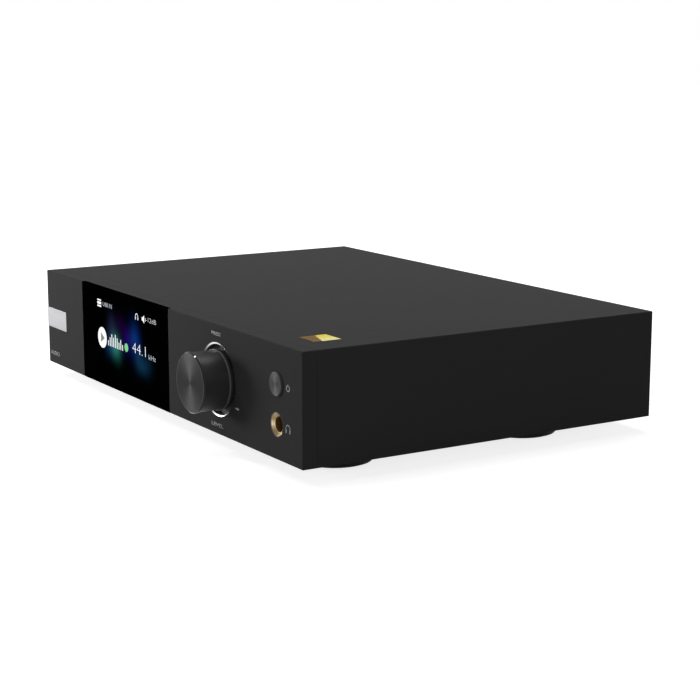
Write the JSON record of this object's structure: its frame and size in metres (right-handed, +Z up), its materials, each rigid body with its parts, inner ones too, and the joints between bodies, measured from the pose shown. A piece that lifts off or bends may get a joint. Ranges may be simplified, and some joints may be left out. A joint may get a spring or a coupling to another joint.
{
  "type": "desktop music player",
  "caption": "Slim black desktop music player and headphone amplifier: glass display, push-and-turn knob, power key, headphone socket in front, lead sockets behind.",
  "frame": {"origin": "on the supporting surface, under the middle of the outer box", "axes": "+X right as seen from the front, +Y to the back, +Z up"},
  "size_m": [0.27, 0.2092, 0.0567],
  "materials": {
    "case_black": "satin",
    "knob_black": "satin",
    "display_glass": "gloss",
    "lcd": "gloss",
    "badge_silver": "satin",
    "gold_foil": "gloss",
    "gilt_brass": "polished",
    "bare_steel": "satin",
    "black_steel": "satin",
    "black_screw": "satin",
    "black_plastic": "matte",
    "white_plastic": "matte",
    "board_green": "satin",
    "black_rubber": "matte",
    "heat_black": "satin",
    "brass_bare": "satin"
  },
  "bodies": {
    "chassis": {"front_panel": "case_black", "top_cover": "case_black", "base_tray": "black_steel", "rear_panel": "case_black", "display_glass": "display_glass", "lcd_module": "lcd", "lcd_bracket": "bare_steel", "badge_plate": "badge_silver", "gold_foil": "gold_foil", "encoder_body": "black_plastic", "encoder_nut": "bare_steel", "power_switch": "black_plastic", "headphone_bushing": "gilt_brass", "headphone_body": "black_plastic", "front_board": "board_green", "main_board": "board_green", "power_board": "board_green", "board_posts": "bare_steel", "board_screws": "bare_steel", "panel_screws": "bare_steel", "audio_shield": "bare_steel", "filter_capacitors": "black_plastic", "board_chips": "black_plastic", "heat_sink": "heat_black", "supply_parts": "black_plastic", "transformer": "black_plastic", "ribbon_cable": "white_plastic", "base_screws": "black_screw", "rear_screws": "black_screw", "line_out_left": "gilt_brass", "line_out_right": "gilt_brass", "coaxial_in_1": "gilt_brass", "coaxial_in_2": "gilt_brass", "socket_carriers": "black_plastic", "optical_in_1": "black_plastic", "optical_in_2": "black_plastic", "usb_socket": "bare_steel", "balanced_inserts": "black_plastic", "balanced_pins": "gilt_brass", "balanced_out_left": "bare_steel", "balanced_out_right": "bare_steel", "trigger_socket": "black_plastic", "aerial_socket": "gilt_brass", "mains_inlet": "black_plastic", "inlet_blades": "bare_steel", "rocker_housing": "black_plastic", "foot_front_left": "black_plastic", "foot_front_right": "black_plastic", "foot_rear_left": "black_plastic", "foot_rear_right": "black_plastic", "foot_pads": "black_rubber"},
    "encoder_slider": {"encoder_plunger": "white_plastic"},
    "volume_knob": {"knob": "knob_black", "knob_insert": "brass_bare", "encoder_shaft": "bare_steel"},
    "power_key": {"power_button": "knob_black", "switch_plunger": "white_plastic"},
    "shutter_1": {"optical_shutter_1": "black_plastic"},
    "shutter_2": {"optical_shutter_2": "black_plastic"},
    "rocker": {"mains_rocker": "black_plastic"}
  },
  "joints": [
    {"name": "knob_push", "type": "slide", "parent": "chassis", "child": "encoder_slider", "axis": [0, 1, 0], "range_m": [0, 0.0005], "stiffness_N_per_m": 1500, "springref_m": -0.001},
    {"name": "knob_turn", "type": "hinge", "parent": "encoder_slider", "child": "volume_knob", "pos_m": [0.0606, -0.0978, 0.0318], "axis": [0, 1, 0], "continuous": true},
    {"name": "power_press", "type": "slide", "parent": "chassis", "child": "power_key", "axis": [0, 1, 0], "range_m": [0, 0.0005], "stiffness_N_per_m": 1500, "springref_m": -0.001},
    {"name": "rocker_throw", "type": "hinge", "parent": "chassis", "child": "rocker", "pos_m": [-0.084, 0.0925, 0.0318], "axis": [-1, 0, 0], "range_deg": [0, 24]},
    {"name": "shutter_1_swing", "type": "hinge", "parent": "chassis", "child": "shutter_1", "pos_m": [-0.029, 0.09485, 0.02785], "axis": [-1, 0, 0], "range_deg": [0, 80], "stiffness_Nm_per_rad": 0.0002, "springref_deg": -20.05},
    {"name": "shutter_2_swing", "type": "hinge", "parent": "chassis", "child": "shutter_2", "pos_m": [-0.042, 0.09485, 0.02785], "axis": [-1, 0, 0], "range_deg": [0, 80], "stiffness_Nm_per_rad": 0.0002, "springref_deg": -20.05}
  ]
}
